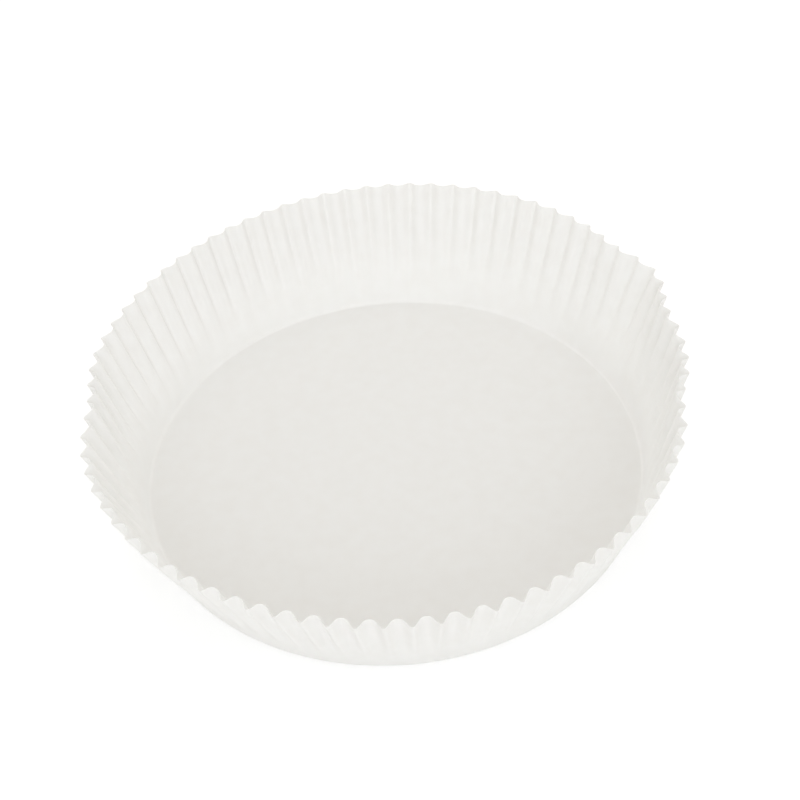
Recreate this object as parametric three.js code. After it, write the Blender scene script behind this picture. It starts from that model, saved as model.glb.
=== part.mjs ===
// Round air fryer paper liner: one sheet of greaseproof paper pressed into a shallow fluted bowl.
// A flat floor turns up through a small corner into a wall that leans outwards, and the wall is
// gathered into flutes from the corner to the cut edge. Millimetres, +Z up, floor underside at Z = 0.
import * as THREE from "three";

// Driving dimensions
const floorRadius = 84; // flat floor, out to where the corner begins
const cornerRadius = 1.5; // bend from the floor into the wall
const rimRadius = 100; // mean line of the flutes at the cut edge
const rimHeight = 43.5; // mean line of the flutes at the cut edge, above the floor
const paperThickness = 0.06; // silicone-coated greaseproof paper of about 45 g/m2
const fluteCount = 80;
const fluteOpening = 30; // way up the wall over which the flutes open to their full depth
const firstCrest = THREE.MathUtils.degToRad(2.67); // direction of one inward fold
const ridgeSharpness = 0.18; // 0 is an even wave; more makes the outward folds narrower

// Where the rim stands away from a true circle, measured square to the wall, outwards positive.
// Lobes go all round, and dents are short stretches that handling pushed in or out.
const lobes = [
  { count: 2, amount: 2.4, direction: 74 },
  { count: 3, amount: 1.4, direction: 65 },
];
const dents = [
  { direction: 33, halfWidth: 4.5, amount: -1.5 },
  { direction: 22, halfWidth: 7, amount: 4.5 },
  { direction: 10, halfWidth: 4, amount: -1.2 },
  { direction: 345, halfWidth: 6, amount: -2.5 },
  { direction: 181, halfWidth: 9, amount: -3.5 },
];

// The wall's straight line is the tangent from the corner's arc to the rim's mean line.
const wallRun = rimRadius - floorRadius;
const wallRise = rimHeight - cornerRadius;
const wallReach = Math.hypot(wallRun, wallRise);
const wallTurn = Math.atan2(wallRise, wallRun) + Math.asin(cornerRadius / wallReach);
const cornerLength = cornerRadius * wallTurn;
const straightLength = Math.sqrt(wallReach ** 2 - cornerRadius ** 2);
const wallLength = cornerLength + straightLength;

// Rings of the sheet, outwards from the floor's edge: how far up the wall, and points in each flute.
const rings = [
  { along: 0, perFlute: 2 },
  { along: cornerLength / 2, perFlute: 2 },
  { along: cornerLength, perFlute: 2 },
  { along: cornerLength + straightLength * 0.16, perFlute: 4 },
  { along: cornerLength + straightLength * 0.38, perFlute: 8 },
  { along: cornerLength + straightLength * 0.68, perFlute: 8 },
  { along: wallLength, perFlute: 8 },
];

// Middle of the sheet before fluting: a point of the profile and the way out of the bowl there.
function profileAt(along) {
  const turn = Math.min(along / cornerRadius, wallTurn);
  const past = Math.max(along - cornerLength, 0);
  const radius = floorRadius + cornerRadius * Math.sin(turn) + past * Math.cos(wallTurn);
  const height = cornerRadius * (1 - Math.cos(turn)) + past * Math.sin(wallTurn);
  return { radius, height, outwards: Math.sin(turn), downwards: Math.cos(turn) };
}

// Depth of the flutes, from the middle line to a fold: a ring of the flat sheet is longer than the
// ring it is pressed into, and the wave takes up exactly that spare length. Close to the corner the
// press lays the little that is spare flat, so there the flutes only begin to open.
function fluteAmplitude(along) {
  const { radius } = profileAt(along);
  const spare = (floorRadius + along) / radius - 1;
  const fullness = 1 + 4 * ridgeSharpness ** 2;
  const slope = 2 * Math.sqrt((Math.max(spare, 0) * (1 + 0.72 * spare)) / fullness);
  const opened = THREE.MathUtils.smoothstep(along - cornerLength, 0, fluteOpening);
  return (opened * slope * radius) / fluteCount;
}

// The wave itself, close to 1 on an inward fold and to -1 on an outward one.
function fluteWave(angle) {
  const phase = fluteCount * (angle - firstCrest);
  return Math.cos(phase) - ridgeSharpness * Math.cos(2 * phase);
}

// How far the rim stands out from its circle in a direction.
function rimOffset(angle) {
  let offset = 0;
  for (const { count, amount, direction } of lobes) {
    offset += amount * Math.cos(count * (angle - THREE.MathUtils.degToRad(direction)));
  }
  for (const { direction, halfWidth, amount } of dents) {
    const away = Math.atan2(
      Math.sin(angle - THREE.MathUtils.degToRad(direction)),
      Math.cos(angle - THREE.MathUtils.degToRad(direction)),
    );
    offset += amount * Math.exp(-((away / THREE.MathUtils.degToRad(halfWidth)) ** 2));
  }
  return offset;
}

// Middle of the finished sheet.
function sheetPoint(angle, along) {
  const { radius, height, outwards, downwards } = profileAt(along);
  const lean = rimOffset(angle) * (along / wallLength);
  const push = lean - fluteAmplitude(along) * fluteWave(angle);
  const r = radius + push * outwards;
  return new THREE.Vector3(
    r * Math.cos(angle),
    r * Math.sin(angle),
    paperThickness / 2 + height - push * downwards,
  );
}

// Direction square to the sheet, towards the outside of the bowl.
function sheetNormal(angle, along) {
  if (along === 0) return new THREE.Vector3(0, 0, -1);
  const turnStep = 1e-4;
  const alongStep = Math.min(along, 0.01);
  const round = sheetPoint(angle + turnStep, along).sub(sheetPoint(angle - turnStep, along));
  const up = sheetPoint(angle, along).sub(sheetPoint(angle, along - alongStep));
  return round.cross(up).normalize();
}

// Closed shell of the sheet: the outer face, the same face moved in by one paper thickness, and the
// cut edge that joins them at the rim.
function linerGeometry() {
  const positions = [];
  const indices = [];

  function addPoint(point) {
    positions.push(point.x, point.y, point.z);
    return positions.length / 3 - 1;
  }

  function addTriangle(a, b, c, flipped) {
    if (flipped) indices.push(a, c, b);
    else indices.push(a, b, c);
  }

  // One ring of points, on the outer face (side 1) or the inner face (side -1).
  function addRing({ along, perFlute }, side) {
    const count = fluteCount * perFlute;
    return Array.from({ length: count }, (_, i) => {
      const angle = firstCrest + (i / count) * 2 * Math.PI;
      const offset = sheetNormal(angle, along).multiplyScalar((side * paperThickness) / 2);
      return addPoint(sheetPoint(angle, along).add(offset));
    });
  }

  // Faces between two rings. The upper ring has as many points as the lower one, or twice as many.
  function joinRings(lower, upper, flipped) {
    const ratio = upper.length / lower.length;
    lower.forEach((here, i) => {
      const next = lower[(i + 1) % lower.length];
      const above = Array.from({ length: ratio + 1 }, (_, k) => upper[(i * ratio + k) % upper.length]);
      const middle = Math.floor(ratio / 2);
      for (let k = 0; k < ratio; k++) {
        addTriangle(k < middle ? here : next, above[k + 1], above[k], flipped);
      }
      addTriangle(here, next, above[middle], flipped);
    });
  }

  function addFace(side) {
    const flipped = side < 0;
    const centre = addPoint(new THREE.Vector3(0, 0, (paperThickness / 2) * (1 - side)));
    const faceRings = rings.map((ring) => addRing(ring, side));
    const floorEdge = faceRings[0];
    floorEdge.forEach((point, i) => {
      addTriangle(centre, floorEdge[(i + 1) % floorEdge.length], point, flipped);
    });
    faceRings.slice(1).forEach((ring, i) => joinRings(faceRings[i], ring, flipped));
    return faceRings.at(-1);
  }

  const outerRim = addFace(1);
  const innerRim = addFace(-1);
  joinRings(outerRim, innerRim, false);

  const geometry = new THREE.BufferGeometry();
  geometry.setAttribute("position", new THREE.Float32BufferAttribute(positions, 3));
  geometry.setIndex(indices);
  geometry.computeVertexNormals();
  return geometry;
}

const greaseproofPaper = new THREE.MeshStandardMaterial({
  color: "#f1efeb",
  roughness: 0.62,
  metalness: 0,
});

const liner = new THREE.Mesh(linerGeometry(), greaseproofPaper);
liner.name = "paper_liner";

const airFryerLiner = new THREE.Group();
airFryerLiner.add(liner);

export default airFryerLiner;
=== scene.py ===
import math

import bpy
from mathutils import Matrix, Vector


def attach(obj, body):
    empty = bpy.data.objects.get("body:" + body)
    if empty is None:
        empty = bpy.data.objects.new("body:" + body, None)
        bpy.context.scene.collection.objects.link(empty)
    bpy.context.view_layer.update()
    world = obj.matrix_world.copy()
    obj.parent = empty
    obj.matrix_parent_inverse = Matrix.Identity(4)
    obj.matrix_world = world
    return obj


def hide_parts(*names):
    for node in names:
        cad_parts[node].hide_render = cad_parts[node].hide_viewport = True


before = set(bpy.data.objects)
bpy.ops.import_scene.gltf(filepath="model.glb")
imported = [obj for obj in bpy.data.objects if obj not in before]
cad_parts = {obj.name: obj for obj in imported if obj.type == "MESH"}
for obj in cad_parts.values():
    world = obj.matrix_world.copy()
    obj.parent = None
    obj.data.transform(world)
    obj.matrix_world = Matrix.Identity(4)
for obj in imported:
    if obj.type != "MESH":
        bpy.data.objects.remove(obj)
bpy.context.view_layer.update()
print("frame loaded")

mm = 0.001    # in metres


def linear(hexColour):
    # sRGB hex to the linear colour that a shader socket takes
    parts = [int(hexColour[i:i + 2], 16) / 255 for i in (1, 3, 5)]
    parts = [c / 12.92 if c <= 0.04045 else ((c + 0.055) / 1.055) ** 2.4 for c in parts]
    return (*parts, 1.0)


def addNode(tree, kind, inputs=(), **settings):
    # inputs holds a number, a socket or a node for each input, by place or by name
    node = tree.nodes.new(kind)
    for name, setting in settings.items():
        setattr(node, name, setting)
    for key, given in inputs.items() if isinstance(inputs, dict) else enumerate(inputs):
        if isinstance(given, bpy.types.Node):
            given = given.outputs[0]
        if isinstance(given, bpy.types.NodeSocket):
            tree.links.new(given, node.inputs[key])
        else:
            node.inputs[key].default_value = given
    return node


# The camera stands where the photograph was taken from.
photoView = {
    "lens": 70.07,                   # mm, on a sensor 36 mm wide
    "distance": 0.523,               # m, from the middle of the bowl
    "elevation": 45.03,              # degrees above the table
    "roll": 5.5,                     # degrees, the left side hangs lower
    "middle": (0, 0, 0.02175),       # m, half way up the wall
    "middlePixel": (390.3, 419.5),   # where the middle falls in a frame of 800 by 800
}


def makeCamera():
    frameSize = 800    # pixels
    data = bpy.data.cameras.new("photo_camera")
    data.lens = photoView["lens"]
    focal = data.lens / data.sensor_width * frameSize
    elevation = math.radians(photoView["elevation"])
    forward = Vector((0, math.cos(elevation), -math.sin(elevation)))
    up = Vector((0, math.sin(elevation), math.cos(elevation)))
    level = Matrix((forward.cross(up), up, -forward)).transposed()
    roll = Matrix.Rotation(-math.radians(photoView["roll"]), 3, "Z")
    x, y = photoView["middlePixel"]
    ray = Vector(((x - frameSize / 2) / focal, (frameSize / 2 - y) / focal, -1))
    aside = Vector((0, 0, -1)).rotation_difference(ray).to_matrix().inverted()
    place = Vector(photoView["middle"]) - forward * photoView["distance"]
    camera = bpy.data.objects.new("photo_camera", data)
    camera.matrix_world = Matrix.Translation(place) @ (level @ roll @ aside).to_4x4()
    bpy.context.scene.collection.objects.link(camera)
    bpy.context.scene.camera = camera


makeCamera()
print("camera placed")

# The liner is one round sheet: a flat floor, a small corner, and a wall gathered into flutes.
liner = {
    "floorRadius": 84.0,        # mm, out to the corner
    "cornerRadius": 1.5,
    "rimRadius": 100.0,         # middle line of the flutes at the cut edge
    "rimHeight": 43.5,
    "paper": 0.06,              # thickness
    "flutes": 80,
    "firstCrest": 2.67,         # degrees, where one inward fold is
    "fluteOpening": 30.0,       # way up the wall over which the flutes open to their full depth
    "ridgeSharpness": 0.18,     # more makes the outward folds narrower
    "columnsPerFlute": 16,
    "floorRows": 3,
    "cornerRows": 5,
    "wallRows": 18,
    "wander": 0.32,             # radians of the wave that a fold strays from its even place
    "unevenness": 0.16,         # share by which one flute is deeper than the next
    "strayLength": 15.0,        # mm round the wall over which those two change
    "dimples": 0.07,            # mm, soft dimples from pressing and packing
    "dimpleSize": 7.0,
    "seed": 7,
    "otherSeeds": (31.7, 57.3), # added to the seed for the depths and for the dimples
    "alongFold": 0.35,          # how fast all these change up a fold, beside round the wall
    # A wave takes up a quarter of its slope squared, and a steep one a little less, so it is made
    # steeper by the first of these. The half wave, twice as steep, counts four times.
    "steepTerm": 0.72,
    "halfWaveTerm": 4,
    "weld": 0.001,              # mm, points closer than this become one
    "cutAngle": 1.0,            # radians, an edge folded more sharply is the cut's
}
# The rim strays from a true circle, square to the wall: lobes all round, dents over a short way.
# Amounts are in mm, outwards positive, and directions and half widths in degrees.
lobes = [
    {"count": 2, "amount": 2.4, "direction": 74},
    {"count": 3, "amount": 1.4, "direction": 65},
]
dents = [
    {"direction": 33, "halfWidth": 4.5, "amount": -1.5},
    {"direction": 22, "halfWidth": 7, "amount": 4.5},
    {"direction": 10, "halfWidth": 4, "amount": -1.2},
    {"direction": 345, "halfWidth": 6, "amount": -2.5},
    {"direction": 181, "halfWidth": 9, "amount": -3.5},
]


def linerTree():
    tree = bpy.data.node_groups.new("fluted_liner", "GeometryNodeTree")
    tree.interface.new_socket("Geometry", in_out="OUTPUT", socket_type="NodeSocketGeometry")
    sizes = {
        "Floor Radius": liner["floorRadius"] * mm,
        "Corner Radius": liner["cornerRadius"] * mm,
        "Rim Radius": liner["rimRadius"] * mm,
        "Rim Height": liner["rimHeight"] * mm,
        "Paper Thickness": liner["paper"] * mm,
        "First Crest": math.radians(liner["firstCrest"]),
        "Flute Opening": liner["fluteOpening"] * mm,
        "Ridge Sharpness": liner["ridgeSharpness"],
        "Wander": liner["wander"],
        "Unevenness": liner["unevenness"],
        "Stray Length": liner["strayLength"] * mm,
        "Dimples": liner["dimples"] * mm,
        "Dimple Size": liner["dimpleSize"] * mm,
    }
    counts = {
        "Flutes": liner["flutes"],
        "Columns Per Flute": liner["columnsPerFlute"],
        "Floor Rows": liner["floorRows"],
        "Corner Rows": liner["cornerRows"],
        "Wall Rows": liner["wallRows"],
        "Seed": liner["seed"],
    }
    for name in sizes:
        tree.interface.new_socket(name, in_out="INPUT", socket_type="NodeSocketFloat")
    for name in counts:
        tree.interface.new_socket(name, in_out="INPUT", socket_type="NodeSocketInt")
    tree.interface.new_socket("Paper", in_out="INPUT", socket_type="NodeSocketMaterial")
    known = {socket.name: socket for socket in addNode(tree, "NodeGroupInput").outputs}

    # each row is one sum: its result's name, the operation, and its terms, names or numbers
    gridSums = [
        ("rowsBelowWall", "ADD", "Floor Rows", "Corner Rows"),
        ("rows", "ADD", "rowsBelowWall", "Wall Rows"),
        ("rowPoints", "ADD", "rows", 1),
        ("columns", "MULTIPLY", "Flutes", "Columns Per Flute"),
        ("columnPoints", "ADD", "columns", 1),
    ]
    for name, operation, *terms in gridSums:
        known[name] = addNode(tree, "ShaderNodeMath", [known.get(term, term) for term in terms],
                              operation=operation)
    # a grid of angle across and rows up becomes the sheet
    grid = addNode(tree, "GeometryNodeMeshGrid", {
        "Size X": 2 * math.pi, "Size Y": 1,
        "Vertices X": known["columnPoints"], "Vertices Y": known["rowPoints"]})
    place = addNode(tree, "ShaderNodeSeparateXYZ", [addNode(tree, "GeometryNodeInputPosition")])
    known["gridX"], known["gridY"] = place.outputs[0], place.outputs[1]

    sheetSums = [
        # the wall's line is the tangent from the corner's arc to the rim
        ("run", "SUBTRACT", "Rim Radius", "Floor Radius"),
        ("rise", "SUBTRACT", "Rim Height", "Corner Radius"),
        ("runSquared", "MULTIPLY", "run", "run"),
        ("reachSquared", "MULTIPLY_ADD", "rise", "rise", "runSquared"),
        ("reach", "SQRT", "reachSquared"),
        ("steepness", "ARCTAN2", "rise", "run"),
        ("cornerSine", "DIVIDE", "Corner Radius", "reach"),
        ("cornerTurn", "ARCSINE", "cornerSine"),
        ("wallTurn", "ADD", "steepness", "cornerTurn"),
        ("cornerLength", "MULTIPLY", "Corner Radius", "wallTurn"),
        ("cornerSquared", "MULTIPLY", "Corner Radius", "Corner Radius"),
        ("straightSquared", "SUBTRACT", "reachSquared", "cornerSquared"),
        ("straightLength", "SQRT", "straightSquared"),
        ("wallLength", "ADD", "cornerLength", "straightLength"),
        # where a point is on the floor, on the corner and on the straight wall, each from 0 to 1
        ("upShare", "ADD", "gridY", 0.5),
        ("row", "MULTIPLY", "upShare", "rows"),
        ("floorReach", "DIVIDE", "row", "Floor Rows"),
        ("onFloor", "MINIMUM", "floorReach", 1),
        ("cornerRow", "SUBTRACT", "row", "Floor Rows"),
        ("cornerReach", "DIVIDE", "cornerRow", "Corner Rows"),
        ("cornerCapped", "MINIMUM", "cornerReach", 1),
        ("onCorner", "MAXIMUM", "cornerCapped", 0),
        ("wallRow", "SUBTRACT", "row", "rowsBelowWall"),
        ("wallReach", "DIVIDE", "wallRow", "Wall Rows"),
        ("onWall", "MAXIMUM", "wallReach", 0),
        # the sheet before fluting: its radius, its height and the way square to it
        ("turn", "MULTIPLY", "onCorner", "wallTurn"),
        ("outwards", "SINE", "turn"),
        ("downwards", "COSINE", "turn"),
        ("past", "MULTIPLY", "onWall", "straightLength"),
        ("along", "MULTIPLY_ADD", "onCorner", "cornerLength", "past"),
        ("climb", "DIVIDE", "along", "wallLength"),
        ("leanX", "COSINE", "wallTurn"),
        ("leanZ", "SINE", "wallTurn"),
        ("pastX", "MULTIPLY", "past", "leanX"),
        ("pastZ", "MULTIPLY", "past", "leanZ"),
        ("cornerX", "MULTIPLY_ADD", "Corner Radius", "outwards", "pastX"),
        ("wallRadius", "ADD", "cornerX", "Floor Radius"),
        ("radius", "MULTIPLY_ADD", "Floor Radius", "onFloor", "cornerX"),
        ("cornerZ", "SUBTRACT", 1, "downwards"),
        ("height", "MULTIPLY_ADD", "Corner Radius", "cornerZ", "pastZ"),
        # the flutes take up exactly the paper that a ring of the flat sheet has to spare
        ("flatRadius", "ADD", "Floor Radius", "along"),
        ("fullRatio", "DIVIDE", "flatRadius", "wallRadius"),
        ("spareRaw", "SUBTRACT", "fullRatio", 1),
        ("spare", "MAXIMUM", "spareRaw", 0),
        ("bend", "MULTIPLY_ADD", "spare", liner["steepTerm"], 1),
        ("spareBent", "MULTIPLY", "spare", "bend"),
        ("sharpSquared", "MULTIPLY", "Ridge Sharpness", "Ridge Sharpness"),
        ("fullness", "MULTIPLY_ADD", "sharpSquared", liner["halfWaveTerm"], 1),
        ("slopeSquared", "DIVIDE", "spareBent", "fullness"),
        ("halfSlope", "SQRT", "slopeSquared"),
        ("slope", "MULTIPLY", "halfSlope", 2),
        ("slopeRadius", "MULTIPLY", "slope", "wallRadius"),
        ("fullAmplitude", "DIVIDE", "slopeRadius", "Flutes"),
        ("round", "ADD", "gridX", math.pi),
        ("angle", "ADD", "round", "First Crest"),
        ("cosAngle", "COSINE", "angle"),
        ("sinAngle", "SINE", "angle"),
        ("pastCorner", "SUBTRACT", "along", "cornerLength"),
        # where and how finely the noise is read: round the wall, and drawn out along the folds
        ("noiseX", "MULTIPLY", "cosAngle", "Rim Radius"),
        ("noiseY", "MULTIPLY", "sinAngle", "Rim Radius"),
        ("noiseZ", "MULTIPLY", "along", liner["alongFold"]),
        ("strayScale", "DIVIDE", 1, "Stray Length"),
        ("dimpleScale", "DIVIDE", 1, "Dimple Size"),
        ("depthSeed", "ADD", "Seed", liner["otherSeeds"][0]),
        ("dimpleSeed", "ADD", "Seed", liner["otherSeeds"][1]),
    ]
    for name, operation, *terms in sheetSums:
        known[name] = addNode(tree, "ShaderNodeMath", [known.get(term, term) for term in terms],
                              operation=operation)

    # near the corner the press lays the little spare paper flat, so the flutes only begin to open
    known["opened"] = addNode(tree, "ShaderNodeMapRange", {
        "Value": known["pastCorner"], "From Min": 0.0, "From Max": known["Flute Opening"]},
        interpolation_type="SMOOTHSTEP")
    # no two flutes are quite alike
    spot = addNode(tree, "ShaderNodeCombineXYZ", [
        known["noiseX"], known["noiseY"], known["noiseZ"]])
    for name, seed, scale in (("wanderNoise", "Seed", "strayScale"),
                              ("depthNoise", "depthSeed", "strayScale"),
                              ("dimpleNoise", "dimpleSeed", "dimpleScale")):
        known[name] = addNode(tree, "ShaderNodeTexNoise", {
            "Vector": spot, "W": known[seed], "Scale": known[scale], "Detail": 1.0},
            noise_dimensions="4D")

    pushSums = [
        ("amplitude", "MULTIPLY", "fullAmplitude", "opened"),
        ("wanderWay", "MULTIPLY_ADD", "wanderNoise", 2, -1),
        ("wanderGrown", "MULTIPLY", "wanderWay", "climb"),
        ("evenPhase", "MULTIPLY", "round", "Flutes"),
        ("phase", "MULTIPLY_ADD", "wanderGrown", "Wander", "evenPhase"),
        ("twicePhase", "MULTIPLY", "phase", 2),
        ("mainWave", "COSINE", "phase"),
        ("halfWave", "COSINE", "twicePhase"),
        ("sharpening", "MULTIPLY", "halfWave", "Ridge Sharpness"),
        ("wave", "SUBTRACT", "mainWave", "sharpening"),
        ("depthWay", "MULTIPLY_ADD", "depthNoise", 2, -1),
        ("depthShare", "MULTIPLY_ADD", "depthWay", "Unevenness", 1),
        ("depth", "MULTIPLY", "amplitude", "depthShare"),
        ("flute", "MULTIPLY", "depth", "wave"),
        ("dimpleWay", "MULTIPLY_ADD", "dimpleNoise", 2, -1),
        ("dimpleGrown", "MULTIPLY", "dimpleWay", "climb"),
        ("dimple", "MULTIPLY", "dimpleGrown", "Dimples"),
    ]
    # the rim's strays, one added to the next
    offset = 0
    for i, lobe in enumerate(lobes):
        pushSums += [
            (f"lobeAngle{i}", "SUBTRACT", "angle", math.radians(lobe["direction"])),
            (f"lobePhase{i}", "MULTIPLY", f"lobeAngle{i}", lobe["count"]),
            (f"lobeWave{i}", "COSINE", f"lobePhase{i}"),
            (f"lobe{i}", "MULTIPLY_ADD", f"lobeWave{i}", lobe["amount"] * mm, offset),
        ]
        offset = f"lobe{i}"
    for i, dent in enumerate(dents):
        pushSums += [
            (f"dentAngle{i}", "SUBTRACT", "angle", math.radians(dent["direction"])),
            (f"dentAway{i}", "WRAP", f"dentAngle{i}", math.pi, -math.pi),
            (f"dentWidth{i}", "DIVIDE", f"dentAway{i}", math.radians(dent["halfWidth"])),
            (f"dentSquare{i}", "MULTIPLY", f"dentWidth{i}", f"dentWidth{i}"),
            (f"dentFall{i}", "MULTIPLY", f"dentSquare{i}", -1),
            (f"dentBell{i}", "EXPONENT", f"dentFall{i}"),
            (f"dent{i}", "MULTIPLY_ADD", f"dentBell{i}", dent["amount"] * mm, offset),
        ]
        offset = f"dent{i}"
    pushSums += [
        # the push square to the sheet, outwards positive, then the finished point
        ("lean", "MULTIPLY", offset, "climb"),
        ("leanDimpled", "ADD", "lean", "dimple"),
        ("push", "SUBTRACT", "leanDimpled", "flute"),
        ("finalRadius", "MULTIPLY_ADD", "push", "outwards", "radius"),
        ("x", "MULTIPLY", "finalRadius", "cosAngle"),
        ("y", "MULTIPLY", "finalRadius", "sinAngle"),
        ("pushDown", "MULTIPLY", "push", "downwards"),
        ("bareHeight", "SUBTRACT", "height", "pushDown"),
        ("z", "MULTIPLY_ADD", "Paper Thickness", 0.5, "bareHeight"),
        ("halfInward", "MULTIPLY", "Paper Thickness", -0.5),
    ]
    for name, operation, *terms in pushSums:
        known[name] = addNode(tree, "ShaderNodeMath", [known.get(term, term) for term in terms],
                              operation=operation)
    point = addNode(tree, "ShaderNodeCombineXYZ", [known["x"], known["y"], known["z"]])
    shaped = addNode(tree, "GeometryNodeSetPosition", {"Geometry": grid, "Position": point})
    closed = addNode(tree, "GeometryNodeMergeByDistance", {
        "Geometry": shaped, "Distance": liner["weld"] * mm})

    # the sheet's middle becomes two faces one paper thickness apart, joined at the cut edge
    inward = addNode(tree, "ShaderNodeVectorMath", {
        0: addNode(tree, "GeometryNodeInputNormal"), "Scale": known["halfInward"]},
        operation="SCALE")
    inner = addNode(tree, "GeometryNodeSetPosition", {"Geometry": closed, "Offset": inward})
    outer = addNode(tree, "GeometryNodeExtrudeMesh", {
        "Mesh": inner, "Offset Scale": known["Paper Thickness"], "Individual": False}, mode="FACES")
    innerTurned = addNode(tree, "GeometryNodeFlipFaces", {"Mesh": inner})
    joined = addNode(tree, "GeometryNodeJoinGeometry", {"Geometry": outer})
    tree.links.new(innerTurned.outputs[0], joined.inputs[0])
    shell = addNode(tree, "GeometryNodeMergeByDistance", {
        "Geometry": joined, "Distance": liner["weld"] * mm})

    # smooth everywhere but along the two edges of the cut
    smooth = addNode(tree, "GeometryNodeSetShadeSmooth", {"Geometry": shell, "Shade Smooth": True})
    fold = addNode(tree, "GeometryNodeInputMeshEdgeAngle")
    isCut = addNode(tree, "FunctionNodeCompare", {"A": fold, "B": liner["cutAngle"]},
                    data_type="FLOAT", operation="GREATER_THAN")
    crisp = addNode(tree, "GeometryNodeSetShadeSmooth", {
        "Geometry": smooth, "Selection": isCut, "Shade Smooth": False}, domain="EDGE")
    real = addNode(tree, "GeometryNodeRealizeInstances", {"Geometry": crisp})
    painted = addNode(tree, "GeometryNodeSetMaterial", {
        "Geometry": real, "Material": known["Paper"]})
    addNode(tree, "NodeGroupOutput", [painted])
    return tree, {**sizes, **counts}


def makeLiner(paper):
    tree, values = linerTree()
    piece = bpy.data.objects.new("pressed_liner", bpy.data.meshes.new("pressed_liner"))
    bpy.context.scene.collection.objects.link(piece)
    modifier = piece.modifiers.new("fluted_liner", "NODES")
    modifier.node_group = tree
    values["Paper"] = paper
    for item in tree.interface.items_tree:
        if item.in_out == "INPUT":
            modifier[item.identifier] = values[item.name]
    depsgraph = bpy.context.evaluated_depsgraph_get()
    made = bpy.data.meshes.new_from_object(piece.evaluated_get(depsgraph))
    piece.modifiers.clear()
    piece.data = made
    made.name = "pressed_liner"
    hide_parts("paper_liner")
    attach(piece, "root")
    print("liner:", len(made.vertices), "points,", len(made.polygons), "faces")


# Bleached greaseproof paper, supercalendered and coated with silicone: dense pulp, so hardly any
# fibre shows; a soft, low sheen; faint clouds where the pulp lies thicker; it lets some light
# through.
paperLook = {
    "bare": "#fafaf9",
    "thick": "#f6f5f3",           # the clouds, where there is more pulp
    "cloudSize": 5.0,             # mm
    "cloudDetail": 3.0,           # finer and finer clouds laid over the first
    "cloudRoughness": 0.55,       # how strong each is beside the one before
    "cloudRange": (0.3, 0.7),     # what the clouds' noise mostly keeps between
    "fibreSize": 0.35,            # mm, real fibres are 0.03 mm wide and don't show
    "fibreDetail": 4.0,
    "fibreRoughness": 0.6,
    "fibreHeight": 0.006,         # mm
    "roughness": (0.50, 0.62),    # from bare to cloud
    "ior": 1.5,                   # cellulose and its coating
    "letsThrough": 0.50,          # share of the light at each face that goes on into the sheet
}


def greaseproofPaper():
    material = bpy.data.materials.new("bleached greaseproof paper, silicone coated")
    material.use_nodes = True
    tree = material.node_tree
    tree.nodes.clear()
    place = addNode(tree, "ShaderNodeTexCoord").outputs["Object"]
    clouds = addNode(tree, "ShaderNodeTexNoise", {
        "Vector": place, "Scale": 1 / (paperLook["cloudSize"] * mm),
        "Detail": paperLook["cloudDetail"], "Roughness": paperLook["cloudRoughness"]})
    colour = addNode(tree, "ShaderNodeMix", {     # its colours are inputs 6 and 7, and output 2
        "Factor": clouds.outputs["Fac"],
        6: linear(paperLook["bare"]), 7: linear(paperLook["thick"])}, data_type="RGBA")
    fibres = addNode(tree, "ShaderNodeTexNoise", {
        "Vector": place, "Scale": 1 / (paperLook["fibreSize"] * mm),
        "Detail": paperLook["fibreDetail"], "Roughness": paperLook["fibreRoughness"]})
    thinnest, thickest = paperLook["cloudRange"]
    smoothest, roughest = paperLook["roughness"]
    roughness = addNode(tree, "ShaderNodeMapRange", {
        "Value": clouds.outputs["Fac"], "From Min": thinnest, "From Max": thickest,
        "To Min": smoothest, "To Max": roughest})
    bump = addNode(tree, "ShaderNodeBump", {
        "Height": fibres.outputs["Fac"], "Strength": 1.0,
        "Distance": paperLook["fibreHeight"] * mm})
    face = addNode(tree, "ShaderNodeBsdfPrincipled", {
        "Base Color": colour.outputs[2], "Roughness": roughness, "Normal": bump,
        "IOR": paperLook["ior"]})
    through = addNode(tree, "ShaderNodeBsdfTranslucent", {
        "Color": colour.outputs[2], "Normal": bump})
    surface = addNode(tree, "ShaderNodeMixShader", [paperLook["letsThrough"], face, through])
    addNode(tree, "ShaderNodeOutputMaterial", [surface])
    return material


paper = greaseproofPaper()
print("paper made")
makeLiner(paper)

# A white table in a light tent that evens out the flutes, with a low softbox in front, which leaves
# the front of the floor in the front wall's shade, and one over the back.
studio = {
    "table": "#f2f2f2",
    "tableSize": 6.0,           # m
    "tableDrop": 0.2,           # mm below the paper
    "tableGlow": 0.22,          # share of white added where the table is seen
    "backdrop": "#ffffff",      # also the colour of that glow
    "tent": 0.76,               # strength of the even light from all round
    "tentColour": "#fffefb",
}
softboxes = [                   # place and size in m, power in W
    {"name": "front_softbox", "place": (0.10, -1.55, 0.90), "size": 1.0, "power": 8.2,
     "colour": "#eef5ff"},
    {"name": "back_softbox", "place": (0.0, 0.20, 0.85), "size": 0.7, "power": 1.6,
     "colour": "#fffaf4"},
]


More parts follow.
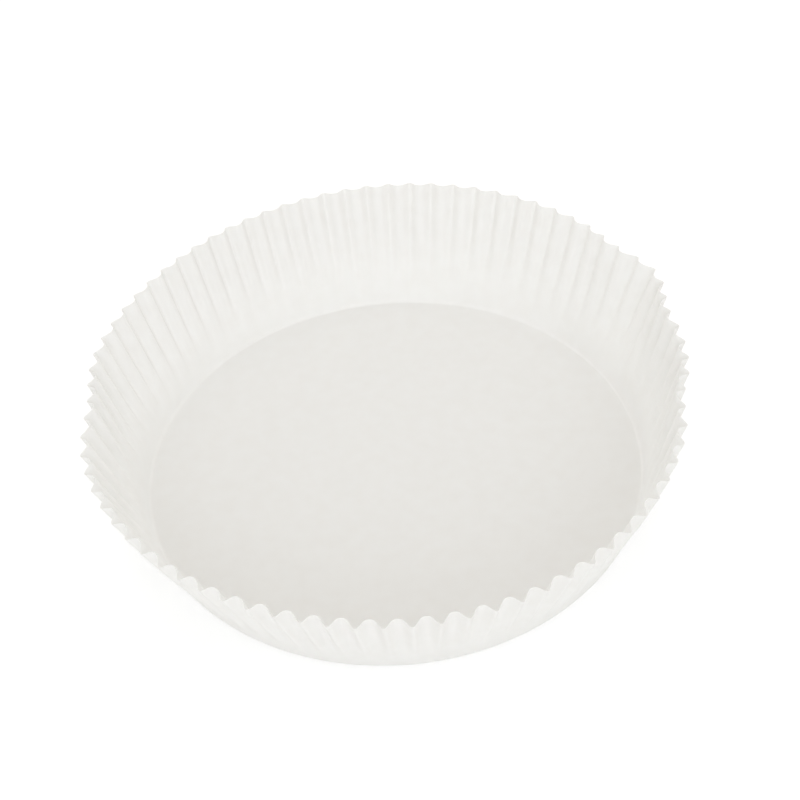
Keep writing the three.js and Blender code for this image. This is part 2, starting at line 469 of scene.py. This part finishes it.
def seenDirectly(tree):
    # 1 for what the camera sees, by itself, in gloss or through the paper, and 0 for other light
    rays = addNode(tree, "ShaderNodeLightPath").outputs
    seen = addNode(tree, "ShaderNodeMath", [rays["Is Camera Ray"], rays["Is Glossy Ray"]],
                   operation="MAXIMUM")
    return addNode(tree, "ShaderNodeMath", [seen, rays["Is Transmission Ray"]], operation="MAXIMUM")


def makeTable():
    half = studio["tableSize"] / 2
    drop = -studio["tableDrop"] * mm
    corners = [(-half, -half, drop), (half, -half, drop), (half, half, drop), (-half, half, drop)]
    mesh = bpy.data.meshes.new("table")
    mesh.from_pydata(corners, [], [(0, 1, 2, 3)])
    table = bpy.data.objects.new("table", mesh)
    bpy.context.scene.collection.objects.link(table)
    material = bpy.data.materials.new("white painted board")
    material.use_nodes = True
    tree = material.node_tree
    tree.nodes.clear()
    board = addNode(tree, "ShaderNodeBsdfDiffuse", {"Color": linear(studio["table"])})
    glow = addNode(tree, "ShaderNodeEmission", {
        "Color": linear(studio["backdrop"]), "Strength": studio["tableGlow"]})
    both = addNode(tree, "ShaderNodeAddShader", [board, glow])
    surface = addNode(tree, "ShaderNodeMixShader", [seenDirectly(tree), board, both])
    addNode(tree, "ShaderNodeOutputMaterial", [surface])
    mesh.materials.append(material)


def makeLight():
    world = bpy.data.worlds.new("light_tent")
    world.use_nodes = True
    tree = world.node_tree
    tree.nodes.clear()
    around = addNode(tree, "ShaderNodeBackground", {
        "Color": linear(studio["tentColour"]), "Strength": studio["tent"]})
    white = addNode(tree, "ShaderNodeBackground", {
        "Color": linear(studio["backdrop"]), "Strength": 1.0})
    surround = addNode(tree, "ShaderNodeMixShader", [seenDirectly(tree), around, white])
    addNode(tree, "ShaderNodeOutputWorld", [surround])
    bpy.context.scene.world = world
    for box in softboxes:
        light = bpy.data.lights.new(box["name"], "AREA")
        light.size = box["size"]
        light.energy = box["power"]
        light.color = linear(box["colour"])[:3]
        lamp = bpy.data.objects.new(box["name"], light)
        place = Vector(box["place"])
        facing = place.to_track_quat("Z", "Y").to_matrix().to_4x4()    # towards the liner
        lamp.matrix_world = Matrix.Translation(place) @ facing
        bpy.context.scene.collection.objects.link(lamp)
    bpy.context.scene.view_settings.view_transform = "Standard"


makeTable()
makeLight()
print("studio lit")
